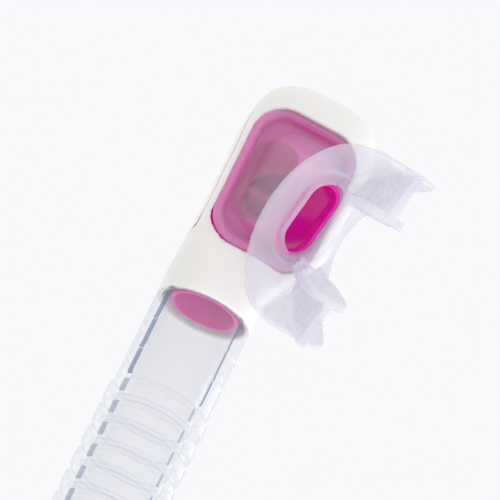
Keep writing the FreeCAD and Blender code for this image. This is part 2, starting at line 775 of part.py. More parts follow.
def build_keeper():
    """A ring that slides on the barrel, with a pad that carries the swivelling strap clip on +X."""
    toward_head = Vector(1, 0, 0)
    bore = "barrel_radius + keeper_fit"
    outer = "barrel_radius + keeper_fit + keeper_wall"
    half = "keeper_height / 2"
    collar = rod("keeper_collar", outer, "keeper_height", low=f"-{half}")
    pad = block("keeper_pad", "0", "keeper_pad_reach", "-keeper_pad_half", "keeper_pad_half",
                f"-{half}", half)
    barrel_way = rod("keeper_way", bore, "keeper_height * 2", low="-keeper_height")
    pin_hole = rod("keeper_pin_hole", "swivel_radius + swivel_fit", "keeper_pad_reach", toward_head)
    ring = cut("keeper_ring", fuse("keeper_blank", collar, pad), barrel_way, pin_hole)
    node(bind(ring, Base_z=KEEPER_MIDDLE))

    plate_near = "keeper_pad_reach + clip_gap"
    plate_far = "keeper_pad_reach + clip_gap + clip_plate"
    slot_far = f"{plate_far} + clip_slot_width"
    clip_far = f"{slot_far} + clip_outer"
    tall = "clip_slot_half_height + clip_end"
    bar = block("clip_bar", plate_near, clip_far, "-clip_half_depth", "clip_half_depth", f"-({tall})", tall)
    slot = block("clip_slot", plate_far, slot_far, "-2 * clip_half_depth", "2 * clip_half_depth",
                 "-clip_slot_half_height", "clip_slot_half_height")
    window = rod("clip_eye", "swivel_head_radius + 1.4", "3 * clip_plate", toward_head,
                 east=f"{plate_far} + clip_slot_width / 2")
    rounded = doc.addObject("Part::Fillet", "clip_rounded")
    rounded.Base = bar
    doc.recompute()
    lengthwise = [index + 1 for index, edge in enumerate(bar.Shape.Edges)
                  if abs(edge.CenterOfMass.z) < 1e-6 or abs(edge.CenterOfMass.y) < 1e-6]
    rounded.Edges = [(index, value("clip_outer") * 0.5, value("clip_outer") * 0.5) for index in lengthwise]
    clip_hole = rod("clip_pin_hole", "swivel_radius + swivel_fit", "clip_plate * 3", toward_head,
                    east="keeper_pad_reach - clip_plate")
    node(bind(cut("strap_clip", rounded, slot, window, clip_hole), Base_z=KEEPER_MIDDLE))

    shaft_near = "barrel_radius + keeper_fit + keeper_wall * 0.4"
    shaft = rod("swivel_shaft", "swivel_radius", f"{plate_far} + clip_gap - ({shaft_near})", toward_head,
                east=shaft_near)
    head = rod("swivel_head", "swivel_head_radius", "swivel_head_height", toward_head,
               east=f"{plate_far} + clip_gap")
    node(bind(fuse("swivel_pin", shaft, head), Base_z=KEEPER_MIDDLE))


# ---------------------------------------------------------------- dry top

HINGE_HEIGHT = "barrel_above - top_start + seat_height + hinge_over_seat"


def top_outline(take="0"):
    return (f"top_half_width - ({take})", f"top_half_width - ({take})", f"top_front - ({take})",
            f"top_back - ({take})", f"top_corner - ({take})")


def cap_form(label, take, low):
    """A straight-walled block over the floor's outline, its top edge taken off in three flats."""
    top = f"top_height - ({take})"
    flats = [(0.0, 1.0), (0.15, 0.45), (0.45, 0.15), (1.0, 0.0)]
    sections = [(low, *top_outline(take))]
    sections += [(f"{top} - {down} * top_dome", *top_outline(f"{take} + {inward} * top_dome"))
                 for inward, down in flats]
    return lofted(label, sections, straight=True)


def build_top():
    """Float-operated valve over the barrel's end, in a slotted housing."""
    along_x = Vector(1, 0, 0)
    bore = "barrel_radius + top_fit"
    floor = lofted("top_floor_form", [("0", *top_outline()), ("top_floor", *top_outline())])
    socket = rod("top_socket", "barrel_radius + top_socket_wall", "top_socket_height")
    barrel_way = rod("top_barrel_way", bore, "3 * top_socket_height", low="-top_socket_height")
    ears = []
    for side in (-1, 1):
        near = "lever_half_width + hinge_fit + 0.35"
        far = f"{near} + ear_thickness"
        west, east = (near, far) if side > 0 else (f"-({far})", f"-({near})")
        ears.append(block(f"hinge_ear_{side}", west, east, "hinge_back - hinge_hub_radius",
                          "hinge_back + hinge_hub_radius", "top_floor / 2",
                          f"{HINGE_HEIGHT} + hinge_hub_radius"))
    pin_way = rod("ear_pin_way", "hinge_pin_radius", "4 * lever_half_width", along_x,
                  east="-2 * lever_half_width", north="hinge_back", low=HINGE_HEIGHT)
    cap_holes = cap_screw_rods("cap_screw_hole", "screw_radius + 0.1", "3 * top_floor", "-top_floor")
    base = cut("top_base", fuse("top_base_blank", floor, socket, *ears), barrel_way, pin_way, cap_holes)
    node(bind(base, Base_z="top_start"))

    node(turned("valve_seat", [
        ("seat_bore_radius", "0"), ("barrel_radius", "0"), ("barrel_radius", "seat_height * 0.6"),
        ("barrel_radius - 1.2", "seat_height"), ("seat_bore_radius + 0.6", "seat_height"),
        ("seat_bore_radius", "seat_height * 0.6")], "barrel_above"))

    pin = rod("pin_blank", "hinge_pin_radius - hinge_fit",
              "2 * (lever_half_width + hinge_fit + 0.35 + ear_thickness)", along_x,
              east="-(lever_half_width + hinge_fit + 0.35 + ear_thickness)", north="hinge_back",
              low=HINGE_HEIGHT)
    pin.Label = "hinge_pin"
    node(bind(pin, Base_z=f"top_start + {HINGE_HEIGHT}"))

    shell = cap_form("cap_form", "0", "top_floor")
    room = cap_form("cap_room", "top_wall", "top_floor - 1")
    openings = []
    for place in range(int(value("slots_per_side"))):
        north = f"({place} - (slots_per_side - 1) / 2) * slot_pitch + (top_back - top_front) / 2"
        for name, low in (("low", "top_floor + 5"), ("high", "top_floor + 10 + slot_height")):
            openings.append(block(f"cap_slot_{name}_{place}", "-2 * top_half_width", "2 * top_half_width",
                                  f"{north} - slot_width / 2", f"{north} + slot_width / 2", low,
                                  f"{low} + slot_height"))
    posts = cap_screw_rods("cap_post", "screw_radius + 1.3", "screw_length", "top_floor")
    post_ways = cap_screw_rods("cap_post_way", "screw_radius - 0.1", "screw_length + top_floor", "0")
    hollow = cut("cap_hollow", shell, room, fuse("cap_slots", *openings))
    node(bind(cut("top_cap", fuse("cap_with_posts", hollow, posts), post_ways), Base_z="top_start"))

    shafts = cap_screw_rods("cap_screw_shaft", "screw_radius - 0.1", "screw_length + top_floor - 1.5", "0")
    heads = cap_screw_rods("cap_screw_head", "screw_head_radius", "screw_head_height", "-screw_head_height")
    node(bind(fuse("cap_screws", shafts, heads), Base_z="top_start"))


def cap_screw_rods(name, radius, length, low):
    """Upright cylinders where the cap is screwed to its floor."""
    spots = [(side, "top_back - screw_head_radius - top_wall - 1.9") for side in (-1, 1)]
    return fuse(name + "_pair", *[
        rod(f"{name}_{side}", radius, length, east=f"{side} * (top_half_width - top_corner * 0.55)",
            north=north, low=low) for side, north in spots])


def build_float():
    """Lever, float and sealing flap that turn about the hinge pin. Local origin on the hinge axis."""
    along_x = Vector(1, 0, 0)
    swing = Rotation(along_x, -value("float_swing"))
    hub = rod("lever_hub", "hinge_hub_radius", "2 * lever_half_width", along_x, east="-lever_half_width")
    float_arm = block("lever_float_arm", "-lever_half_width", "lever_half_width", "0",
                      "float_near + float_depth", "-lever_thickness / 2", "lever_thickness / 2")
    flap_low = "-hinge_over_seat + flap_thickness + 0.2"
    flap_arm = block("lever_flap_arm", "-lever_half_width", "lever_half_width",
                     "-(hinge_back + flap_radius * 0.8)", "0", flap_low, f"{flap_low} + lever_thickness")
    flap_arm_turned = doc.addObject("Part::MultiFuse", "lever_flap_side")
    neck = block("lever_neck", "-lever_half_width", "lever_half_width", "-hinge_hub_radius - lever_thickness",
                 "0", flap_low, "lever_thickness / 2")
    flap_arm_turned.Shapes = [flap_arm, neck]
    flap_arm_turned.Placement = Placement(Vector(), swing)
    pin_way = rod("lever_pin_way", "hinge_pin_radius", "4 * lever_half_width", along_x,
                  east="-2 * lever_half_width")
    lever = cut("float_lever", fuse("lever_blank", hub, float_arm, flap_arm_turned), pin_way)
    lift = f"top_start + {HINGE_HEIGHT}"
    node(bind(lever, Base_y="hinge_back", Base_z=lift))

    top = "-lever_thickness / 2"
    buoy = block("float_blank", "-float_half_width", "float_half_width", "float_near",
                 "float_near + float_depth", f"{top} - float_height", top)
    rounded = doc.addObject("Part::Fillet", "float_rounded")
    rounded.Base = buoy
    doc.recompute()
    corner = value("float_depth") * 0.28
    rounded.Edges = [(index + 1, corner, corner) for index, edge in enumerate(buoy.Shape.Edges)
                     if abs(edge.CenterOfMass.z - buoy.Shape.BoundBox.Center.z) < 1e-6]
    rounded.Label = "float_block"
    node(bind(rounded, Base_y="hinge_back", Base_z=lift))

    pad = rod("flap_lip", "flap_radius", "flap_thickness * 0.6", north="-hinge_back",
              low="-hinge_over_seat + 0.2")
    core = rod("flap_core", "flap_radius - 2", "flap_thickness", north="-hinge_back",
               low="-hinge_over_seat + 0.2")
    flap = fuse("seal_flap", pad, core)
    flap.Placement = Placement(Vector(), swing)
    node(bind(flap, Base_y="hinge_back", Base_z=lift))


# ---------------------------------------------------------------- assembly of the whole document

build_barrel()
build_hose_ring()
build_hose()
casing, purge_hole, screw_holes = build_chamber()
duct = build_duct(purge_hole, screw_holes)
build_mouthpiece(duct)
build_frame()
build_purge(casing)
build_case_screws()
build_keeper()
build_top()
build_float()

doc.recompute()
for thing in doc.Objects:
    if "Invalid" in thing.State or "Error" in thing.State:
        raise RuntimeError(f"{thing.Label} did not recompute")
os.makedirs("parts", exist_ok=True)
for thing in NODES:
    shape = thing.Shape
    if shape.isNull() or not shape.isValid() or not shape.Solids:
        raise RuntimeError(f"{thing.Label} has no sound solid")
    print(thing.Label, len(shape.Solids), round(shape.Volume, 1), shape.BoundBox)
    shape.exportStep(f"parts/{thing.Label}.step")
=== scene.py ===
import json
import math

import bmesh
import bpy
from mathutils import Matrix, Vector


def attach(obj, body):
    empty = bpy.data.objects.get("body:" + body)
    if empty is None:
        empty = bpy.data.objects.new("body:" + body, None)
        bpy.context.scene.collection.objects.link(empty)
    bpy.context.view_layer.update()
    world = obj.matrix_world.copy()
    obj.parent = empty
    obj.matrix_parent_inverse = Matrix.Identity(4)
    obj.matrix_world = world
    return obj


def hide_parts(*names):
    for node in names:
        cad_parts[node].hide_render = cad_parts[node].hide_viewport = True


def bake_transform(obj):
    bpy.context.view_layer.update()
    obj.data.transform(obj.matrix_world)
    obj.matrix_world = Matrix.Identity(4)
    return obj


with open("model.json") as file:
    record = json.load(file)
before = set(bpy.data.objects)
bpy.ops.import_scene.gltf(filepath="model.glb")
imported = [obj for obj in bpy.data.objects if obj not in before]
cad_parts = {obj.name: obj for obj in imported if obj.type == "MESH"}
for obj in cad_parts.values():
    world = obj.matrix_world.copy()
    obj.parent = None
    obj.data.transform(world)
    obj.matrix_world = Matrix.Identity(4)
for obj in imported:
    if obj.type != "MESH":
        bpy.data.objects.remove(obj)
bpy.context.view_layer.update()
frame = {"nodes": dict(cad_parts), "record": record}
nodes = frame["nodes"]

# Heights and sizes are in millimetres in the row's frame. MM turns them into metres.
MM = 0.001
RIM = -215.3
CHAMBER_LENGTH = 78.5
CUFF_LENGTH = 31
CUFF_LOW, CUFF_HIGH = RIM, RIM + CUFF_LENGTH
RIB_PITCH, RIB_COUNT = 7.7, 9

# ---------------------------------------------------------------- materials


def material(name):
    made = bpy.data.materials.new(name)
    made.use_nodes = True
    return made, made.node_tree, made.node_tree.nodes["Principled BSDF"]


def add(tree, kind, **inputs):
    node = tree.nodes.new(kind)
    for key, setting in inputs.items():
        node.inputs[key.replace("_", " ")].default_value = setting
    return node


def grain(tree, shader, scale, depth, strength, detail=4.0):
    """A moulded surface's fine unevenness, in metres of the object. Returns the coordinates' node."""
    place = tree.nodes.new("ShaderNodeTexCoord")
    noise = add(tree, "ShaderNodeTexNoise", Scale=scale, Detail=detail, Roughness=0.55)
    tree.links.new(place.outputs["Object"], noise.inputs["Vector"])
    bump = add(tree, "ShaderNodeBump", Strength=strength, Distance=depth)
    tree.links.new(noise.outputs["Fac"], bump.inputs["Height"])
    tree.links.new(bump.outputs["Normal"], shader.inputs["Normal"])
    return place


def varied(tree, shader, low, high, scale):
    """Slow colour variation between two close colours."""
    place = tree.nodes.new("ShaderNodeTexCoord")
    noise = add(tree, "ShaderNodeTexNoise", Scale=scale, Detail=3.0, Roughness=0.5)
    tree.links.new(place.outputs["Object"], noise.inputs["Vector"])
    ramp = tree.nodes.new("ShaderNodeValToRGB")
    ramp.color_ramp.elements[0].position = 0.3
    ramp.color_ramp.elements[0].color = low
    ramp.color_ramp.elements[1].position = 0.7
    ramp.color_ramp.elements[1].color = high
    tree.links.new(noise.outputs["Fac"], ramp.inputs["Fac"])
    tree.links.new(ramp.outputs["Color"], shader.inputs["Base Color"])


def roughened(tree, shader, low, high, scale):
    """Roughness that wanders between two values, as on a handled surface."""
    place = tree.nodes.new("ShaderNodeTexCoord")
    noise = add(tree, "ShaderNodeTexNoise", Scale=scale, Detail=5.0, Roughness=0.6)
    tree.links.new(place.outputs["Object"], noise.inputs["Vector"])
    spread = add(tree, "ShaderNodeMapRange")
    spread.inputs["From Min"].default_value = 0.3
    spread.inputs["From Max"].default_value = 0.7
    spread.inputs["To Min"].default_value = low
    spread.inputs["To Max"].default_value = high
    tree.links.new(noise.outputs["Fac"], spread.inputs["Value"])
    tree.links.new(spread.outputs["Result"], shader.inputs["Roughness"])


def white_plastic():
    made, tree, shader = material("white_plastic")
    varied(tree, shader, (0.90, 0.875, 0.83, 1), (0.94, 0.92, 0.885, 1), 28.0)
    roughened(tree, shader, 0.30, 0.40, 240.0)
    grain(tree, shader, 900.0, 0.0002, 0.05)
    shader.inputs["Subsurface Weight"].default_value = 0.25
    shader.inputs["Subsurface Radius"].default_value = (0.003, 0.0024, 0.002)
    shader.inputs["Subsurface Scale"].default_value = 1.0
    shader.inputs["Coat Weight"].default_value = 0.25
    shader.inputs["Coat Roughness"].default_value = 0.15
    return made


def pink_plastic():
    made, tree, shader = material("pink_plastic")
    varied(tree, shader, (0.56, 0.012, 0.24, 1), (0.64, 0.02, 0.30, 1), 35.0)
    roughened(tree, shader, 0.22, 0.32, 260.0)
    grain(tree, shader, 800.0, 0.0002, 0.05)
    shader.inputs["Coat Weight"].default_value = 0.4
    shader.inputs["Coat Roughness"].default_value = 0.1
    return made


def clear_pink():
    made, tree, shader = material("clear_pink")
    varied(tree, shader, (0.50, 0.008, 0.27, 1), (0.58, 0.014, 0.33, 1), 60.0)
    roughened(tree, shader, 0.12, 0.22, 200.0)
    grain(tree, shader, 420.0, 0.0003, 0.08)
    shader.inputs["Alpha"].default_value = 0.90
    # Painted light: a faint pink glow that brightens the duct and the port's inside, though the duct is no
    # lamp.
    shader.inputs["Emission Color"].default_value = (0.62, 0.002, 0.30, 1)
    shader.inputs["Emission Strength"].default_value = 0.22
    shader.inputs["Subsurface Weight"].default_value = 0.5
    shader.inputs["Subsurface Radius"].default_value = (0.006, 0.001, 0.003)
    shader.inputs["Subsurface Scale"].default_value = 1.0
    return made


def silicone(name, alpha, low, high):
    made, tree, shader = material(name)
    varied(tree, shader, low, high, 40.0)
    roughened(tree, shader, 0.28, 0.42, 180.0)
    grain(tree, shader, 520.0, 0.0003, 0.10)
    shader.inputs["Alpha"].default_value = alpha
    shader.inputs["Subsurface Weight"].default_value = 0.6
    shader.inputs["Subsurface Radius"].default_value = (0.004, 0.004, 0.005)
    shader.inputs["Subsurface Scale"].default_value = 1.0
    shader.inputs["IOR"].default_value = 1.41
    return made


def maths(tree, operation, *terms):
    """A Math node on numbers or other nodes' outputs, as its output."""
    node = tree.nodes.new("ShaderNodeMath")
    node.operation = operation
    for place, term in enumerate(terms):
        if isinstance(term, (int, float)):
            node.inputs[place].default_value = term
        else:
            tree.links.new(term, node.inputs[place])
    return node.outputs[0]


def painted_stripe(tree, angle, middle_deg, half_deg, height, tilt):
    """1 on a lengthwise band of painted refraction at this angle round the hose, 0 elsewhere; tilt moves it
    round on the ribs.
    """
    ribs = maths(tree, "GREATER_THAN", height, CUFF_HIGH * MM)
    centre = maths(tree, "ADD", math.radians(middle_deg), maths(tree, "MULTIPLY", ribs, math.radians(tilt)))
    away = maths(tree, "ABSOLUTE", maths(tree, "SUBTRACT", angle, centre))
    share = maths(tree, "DIVIDE", away, math.radians(half_deg))
    inside = maths(tree, "SUBTRACT", 1.0, maths(tree, "MINIMUM", share, 1.0))
    return maths(tree, "MINIMUM", maths(tree, "MULTIPLY", inside, 2.5), 1.0)


BETWEEN_WALLS = 13.5


def clear_hose():
    """Clear vinyl: seen through face on, milky at grazing angles, with two lengthwise stripes of painted
    refraction.

    The stripes are painted refraction, dark lines that stand in for dark surroundings seen bent through the
    walls' edges, not a tint of the vinyl; they are on the outside only, break at the cuff's beads and show on
    the ribs' crests. A faint painted dark line also runs in each groove.
    """
    made, tree, shader = material("clear_hose")
    roughened(tree, shader, 0.08, 0.16, 150.0)
    place = grain(tree, shader, 160.0, 0.0004, 0.10, detail=2.0)
    parts = tree.nodes.new("ShaderNodeSeparateXYZ")
    tree.links.new(place.outputs["Object"], parts.inputs["Vector"])
    back_y = maths(tree, "MULTIPLY", parts.outputs["Y"], -1.0)
    angle = maths(tree, "ARCTAN2", parts.outputs["X"], back_y)
    reach = maths(tree, "ADD", maths(tree, "POWER", parts.outputs["X"], 2.0),
                  maths(tree, "POWER", maths(tree, "ABSOLUTE", parts.outputs["Y"]), 2.0))
    outside = maths(tree, "GREATER_THAN", reach, (BETWEEN_WALLS * MM) ** 2)
    # Painted refraction: the two dark lengthwise stripes, on the outer wall only.
    wide = painted_stripe(tree, angle, 57.0, 5.6, parts.outputs["Z"], -5.0)
    thin = painted_stripe(tree, angle, -43.0, 2.2, parts.outputs["Z"], 9.0)
    along = maths(tree, "DIVIDE", maths(tree, "SUBTRACT", parts.outputs["Z"], CUFF_HIGH * MM), RIB_PITCH * MM)
    phase = maths(tree, "FRACT", along)
    crest = maths(tree, "MULTIPLY", maths(tree, "GREATER_THAN", phase, 0.30),
                  maths(tree, "LESS_THAN", phase, 0.86))
    thirds = maths(tree, "FRACT", maths(tree, "DIVIDE", maths(tree, "SUBTRACT", parts.outputs["Z"],
                                                              (RIM + 1.0) * MM), CUFF_LENGTH / 3 * MM))
    cuff = maths(tree, "MULTIPLY", maths(tree, "LESS_THAN", along, 0.0),
                 maths(tree, "GREATER_THAN", thirds, 0.07))
    broken = maths(tree, "MAXIMUM", cuff, maths(tree, "MULTIPLY", crest, 0.8))
    painted_refraction = maths(tree, "MULTIPLY", maths(tree, "MAXIMUM", wide, thin), outside)
    ribbed = maths(tree, "GREATER_THAN", along, 0.0)
    # Painted shade: a faint dark line at the bottom of each groove between the ribs.
    groove = maths(tree, "MULTIPLY", maths(tree, "GREATER_THAN", phase, 0.93), ribbed)
    painted_dark_lines = maths(tree, "MAXIMUM", maths(tree, "MULTIPLY", painted_refraction, broken),
                  maths(tree, "MULTIPLY", groove, 0.30))
    # The vinyl's own pale grey, turned blue-grey where the painted stripes and painted groove lines fall.
    vinyl_and_painted_lines = tree.nodes.new("ShaderNodeMix")
    vinyl_and_painted_lines.data_type = "RGBA"
    vinyl_and_painted_lines.inputs["A"].default_value = (0.66, 0.67, 0.74, 1)
    vinyl_and_painted_lines.inputs["B"].default_value = (0.13, 0.21, 0.36, 1)
    tree.links.new(painted_dark_lines, vinyl_and_painted_lines.inputs["Factor"])
    tree.links.new(vinyl_and_painted_lines.outputs["Result"], shader.inputs["Base Color"])
    weight = tree.nodes.new("ShaderNodeLayerWeight")
    weight.inputs["Blend"].default_value = 0.5
    edge = maths(tree, "POWER", weight.outputs["Facing"], 2.6)
    veil = maths(tree, "ADD", 0.13, maths(tree, "MULTIPLY", edge, 0.42))
    # The painted dark lines are also made more opaque than the clear vinyl.
    alpha = maths(tree, "MAXIMUM", veil, maths(tree, "MULTIPLY", painted_dark_lines, 0.80))
    tree.links.new(alpha, shader.inputs["Alpha"])
    shader.inputs["Coat Weight"].default_value = 0.3
    shader.inputs["Coat Roughness"].default_value = 0.05
    return made


def rubber():
    made, tree, shader = material("seal_rubber")
    varied(tree, shader, (0.07, 0.075, 0.09, 1), (0.10, 0.105, 0.12, 1), 90.0)
    roughened(tree, shader, 0.45, 0.6, 300.0)
    grain(tree, shader, 900.0, 0.0003, 0.15)
    return made


def foam():
    made, tree, shader = material("float_foam")
    varied(tree, shader, (0.82, 0.79, 0.72, 1), (0.88, 0.85, 0.79, 1), 120.0)
    roughened(tree, shader, 0.7, 0.85, 500.0)
    grain(tree, shader, 1600.0, 0.0006, 0.5)
    return made


def steel():
    made, tree, shader = material("steel")
    varied(tree, shader, (0.55, 0.55, 0.56, 1), (0.66, 0.66, 0.67, 1), 300.0)
    roughened(tree, shader, 0.2, 0.35, 700.0)
    shader.inputs["Metallic"].default_value = 1.0
    return made


WHITE = white_plastic()
PINK = pink_plastic()
CLEAR_PINK = clear_pink()
FLANGE = silicone("silicone_thick", 0.36, (0.66, 0.65, 0.74, 1), (0.72, 0.71, 0.79, 1))
NECK = silicone("silicone_thin", 0.20, (0.76, 0.62, 0.78, 1), (0.82, 0.68, 0.84, 1))
TINTED = silicone("silicone_tinted", 0.80, (0.42, 0.02, 0.20, 1), (0.48, 0.03, 0.24, 1))
HOSE = clear_hose()
RUBBER = rubber()
FOAM = foam()
STEEL = steel()

SLOT_LOOKS = {"white_shell": WHITE, "pink_solid": PINK, "pink_clear": CLEAR_PINK, "clear_silicone": FLANGE,
              "clear_hose": HOSE, "seal_rubber": RUBBER, "float_foam": FOAM, "steel": STEEL}
for entry in frame["record"]["subparts"]:
    thing = nodes[entry["node"]]
    thing.data.materials.clear()
    look = TINTED if entry["node"] == "purge_disc" else SLOT_LOOKS[entry["material_slot"]]
    thing.data.materials.append(look)

# ---------------------------------------------------------------- mesh helpers


def mesh_object(name, points, faces, look, smooth=True):
    mesh = bpy.data.meshes.new(name)
    mesh.from_pydata([tuple(point) for point in points], [], faces)
    mesh.materials.append(look)
    if smooth:
        mesh.shade_smooth()
    made = bpy.data.objects.new(name, mesh)
    bpy.context.scene.collection.objects.link(made)
    return made


def outward(thing):
    work = bmesh.new()
    work.from_mesh(thing.data)
    bmesh.ops.remove_doubles(work, verts=work.verts, dist=1e-7)
    bmesh.ops.recalc_face_normals(work, faces=work.faces)
    work.to_mesh(thing.data)
    work.free()
    return thing


def applied(thing, *modifiers):
    """The object's mesh with these modifiers applied, as (type, settings)."""
    for kind, settings in modifiers:
        modifier = thing.modifiers.new(kind.lower(), kind)
        for key, setting in settings.items():
            setattr(modifier, key, setting)
    graph = bpy.context.evaluated_depsgraph_get()
    mesh = bpy.data.meshes.new_from_object(thing.evaluated_get(graph))
    looks = [slot.material for slot in thing.material_slots]
    thing.modifiers.clear()
    thing.data = mesh
    thing.data.materials.clear()
    for look in looks:
        thing.data.materials.append(look)
    thing.data.shade_smooth()
    return thing


def softened(node, name, look, voxel, passes, body):
    """A copy of a CAD node with its moulded edges rounded, which stands for the node."""
    copy = bpy.data.objects.new(name, nodes[node].data.copy())
    bpy.context.scene.collection.objects.link(copy)
    copy.data.materials.clear()
    copy.data.materials.append(look)
    applied(copy, ("REMESH", {"mode": "VOXEL", "voxel_size": voxel * MM}),
            ("SMOOTH", {"factor": 0.5, "iterations": passes}))
    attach(copy, body)
    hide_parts(node)
    return copy


def revolved(name, profile, look, steps=160):
    """A closed or open (radius, height) outline turned about the barrel's axis, in mm."""
    turns = [(math.cos(2 * math.pi * k / steps), math.sin(2 * math.pi * k / steps)) for k in range(steps)]
    points = [(r * c * MM, r * s * MM, z * MM) for r, z in profile for c, s in turns]
    faces = []
    for ring in range(len(profile) - 1):
        for k in range(steps):
            after = (k + 1) % steps
            faces.append((ring * steps + k, ring * steps + after,
                          (ring + 1) * steps + after, (ring + 1) * steps + k))
    return mesh_object(name, points, faces, look)


def smoothstep(low, high, place):
    share = min(max((place - low) / (high - low), 0.0), 1.0)
    return share * share * (3 - 2 * share)


# ---------------------------------------------------------------- corrugated hose

UPPER_CUFF = 24
RIBS_END = CUFF_HIGH + RIB_PITCH * RIB_COUNT
HOSE_END = RIBS_END + UPPER_CUFF
CUFF_RADIUS = 15.3
NECK_RADIUS = 13.6
NECK_LENGTH = 7.5
BORE_RADIUS = 11.3
BARREL_BORE = 11.72
ROOT_RADIUS, RIB_HEIGHT, INNER_RIB_HEIGHT = 14.75, 1.4, 1.1
BEAD_HEIGHT, BEAD_HALF = 0.22, 0.45
JOINT_GAP = 0.12


def rib_rise(height):
    """0 in a groove and 1 on a rib's crest."""
    if not CUFF_HIGH < height < RIBS_END:
        return 0.0
    share = ((height - CUFF_HIGH) / RIB_PITCH) % 1.0
    return smoothstep(0.06, 0.34, share) * (1 - smoothstep(0.80, 1.0, share))


def outer_radius(height):
    """The outside of the hose: beads on the lower cuff, then ribs, then the plain upper cuff."""
    cuff = CUFF_RADIUS
    for third in (1, 2):
        middle = CUFF_LOW + CUFF_LENGTH * third / 3 + 0.6
        cuff += BEAD_HEIGHT * math.exp(-((height - middle) / BEAD_HALF) ** 2)
    if height > RIBS_END + 1.2:
        return cuff
    if height >= RIBS_END:
        return 14.7 + 0.6 * smoothstep(RIBS_END, RIBS_END + 1.2, height)
    if height <= CUFF_HIGH:
        return cuff - 0.35 * smoothstep(CUFF_HIGH - 1.0, CUFF_HIGH, height)
    return ROOT_RADIUS + RIB_HEIGHT * rib_rise(height)


def inner_radius(height):
    if height > RIBS_END:
        return BARREL_BORE
    return BORE_RADIUS + INNER_RIB_HEIGHT * rib_rise(height)


MIDDLE = CUFF_HIGH + RIB_PITCH * 4


def sampled(low, high):
    """Heights about 0.3 mm apart from low to high."""
    steps = max(2, round((high - low) / 0.3))
    return [low + (high - low) * k / steps for k in range(steps + 1)]


def hose_neck():
    """The neck that stands in the casing's collar, with a small chamfer at its end."""
    foot = RIM - NECK_LENGTH
    return [(NECK_RADIUS - 0.5 * (1 - smoothstep(foot, foot + 0.8, z)), z) for z in sampled(foot, RIM - 0.05)]


lower_heights = sampled(CUFF_LOW + JOINT_GAP, MIDDLE)
cuff_lip = [(13.7, RIM + JOINT_GAP), (15.0, RIM + JOINT_GAP), (15.25, RIM + 0.3)]
lower_outline = ([(inner_radius(z), z) for z in reversed(lower_heights)]
                 + [(BORE_RADIUS, z) for z in reversed(sampled(RIM - NECK_LENGTH, RIM))]
                 + hose_neck() + cuff_lip
                 + [(outer_radius(z), z) for z in lower_heights if z > RIM + 0.4])
hose_lower = revolved("hose_lower", lower_outline, HOSE)
upper_heights = sampled(MIDDLE, HOSE_END)
upper_outline = ([(outer_radius(z), z) for z in upper_heights]
                 + [(inner_radius(z), z) for z in reversed(upper_heights)])
hose_upper = revolved("hose_upper", upper_outline, HOSE)
for piece in (hose_lower, hose_upper):
    outward(piece)
    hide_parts("flex_hose")

# ---------------------------------------------------------------- casing

for cad_node, piece_name in (("chamber_shell", "front_casing"), ("rear_shell", "rear_casing")):
    softened(cad_node, piece_name, WHITE, 0.42, 4, "chamber")

# ---------------------------------------------------------------- mouthpiece

# The mouthpiece has directions of its own, from the middle of its air port.
PORT = Vector((-14.3, -31.4, -246.4))
DOWN = Vector((-0.8531, 0.4921, -0.1735))
ALONG = Vector((-0.1197, -0.5082, -0.8529))
WEARER = Vector((-0.5079, -0.7068, 0.4924))
WINDOW_HEIGHT = RIM - CHAMBER_LENGTH + 37.25
WINDOW_MIDDLE = Vector((-4.2, 0, WINDOW_HEIGHT))
WINDOW_HALF = (16.8, 23.75, 10.0)
BASE_MIDDLE = Vector((-5.5, 0, WINDOW_HEIGHT))
BASE_HALF = (11.8, 18.0, 8.8)
PORT_HALF = (6.2, 12.6)
STEPS = 288
LIP_STEPS = 96
FLANGE_SIDE, FLANGE_FORWARD = 30.0, 34.0
FLANGE_END, FLANGE_UP, FLANGE_DOWN = 26.5, 17.0, 15.5


def from_mouth(x, y, z):
    """The place x towards the chin, y along the bite and z towards the wearer from the port."""
    return PORT + DOWN * x + ALONG * y + WEARER * z


def rounded_reach(half_x, half_y, radius, turn):
    """Where a ray at this angle from the middle meets a rounded rectangle."""
    c, s = math.cos(turn), math.sin(turn)
    low, high = 0.0, half_x + half_y
    for _ in range(40):
        middle = (low + high) / 2
        x, y = abs(c * middle), abs(s * middle)
        dx, dy = x - (half_x - radius), y - (half_y - radius)
        outside = math.hypot(max(dx, 0), max(dy, 0)) + min(max(dx, dy), 0) - radius
        low, high = (middle, high) if outside < 0 else (low, middle)
    return c * low, s * low


def window_ring(middle, half, inset, y):
    """A rounded rectangle in the window's plane; half gives its half sizes and corner radius."""
    ring = []
    for k in range(STEPS):
        turn = 2 * math.pi * k / STEPS
        a, b = rounded_reach(half[0] - inset, half[1] - inset, half[2] - inset * 0.7, turn)
        ring.append(Vector((middle.x - a, y, middle.z - b)))
    return ring


def port_ring(grow, depth, steps):
    """The port's oval grown by a distance, at this depth towards the wearer."""
    ring = []
    for k in range(steps):
        half_x, half_y = PORT_HALF[0] + grow, PORT_HALF[1] + grow
        a, b = rounded_reach(half_x, half_y, half_x - 0.01, 2 * math.pi * k / steps)
        ring.append(from_mouth(a, b, depth))
    return ring


def tube_faces(count, steps, closed=False):
    """Faces between this many rings, one after another in the list of points."""
    faces = []
    for ring in range(count if closed else count - 1):
        above = (ring + 1) % count
        for k in range(steps):
            after = (k + 1) % steps
            faces.append((ring * steps + k, ring * steps + after, above * steps + after, above * steps + k))
    return faces


def outline_distance(x, y, half_x, half_y, radius):
    """How far a point is from the outline of a rounded rectangle."""
    dx, dy = abs(x) - (half_x - radius), abs(y) - (half_y - radius)
    return abs(math.hypot(max(dx, 0), max(dy, 0)) + min(max(dx, dy), 0) - radius)


def raised_outlines(place):
    """Height of the two long outlines moulded on the side of the neck that faces the wearer's nose."""
    offset = place - PORT
    side, along, depth = offset.dot(DOWN), offset.dot(ALONG), offset.dot(WEARER)
    if side > 0:
        return 0.0
    rise = 0.0
    for middle, long_half, wide_half in ((-4.6, 8.6, 1.7), (-9.4, 7.8, 1.9)):
        away = outline_distance(along + 0.8, depth - middle, long_half, wide_half, 1.4)
        rise = max(rise, 0.42 * math.exp(-(away / 0.42) ** 2))
    return rise


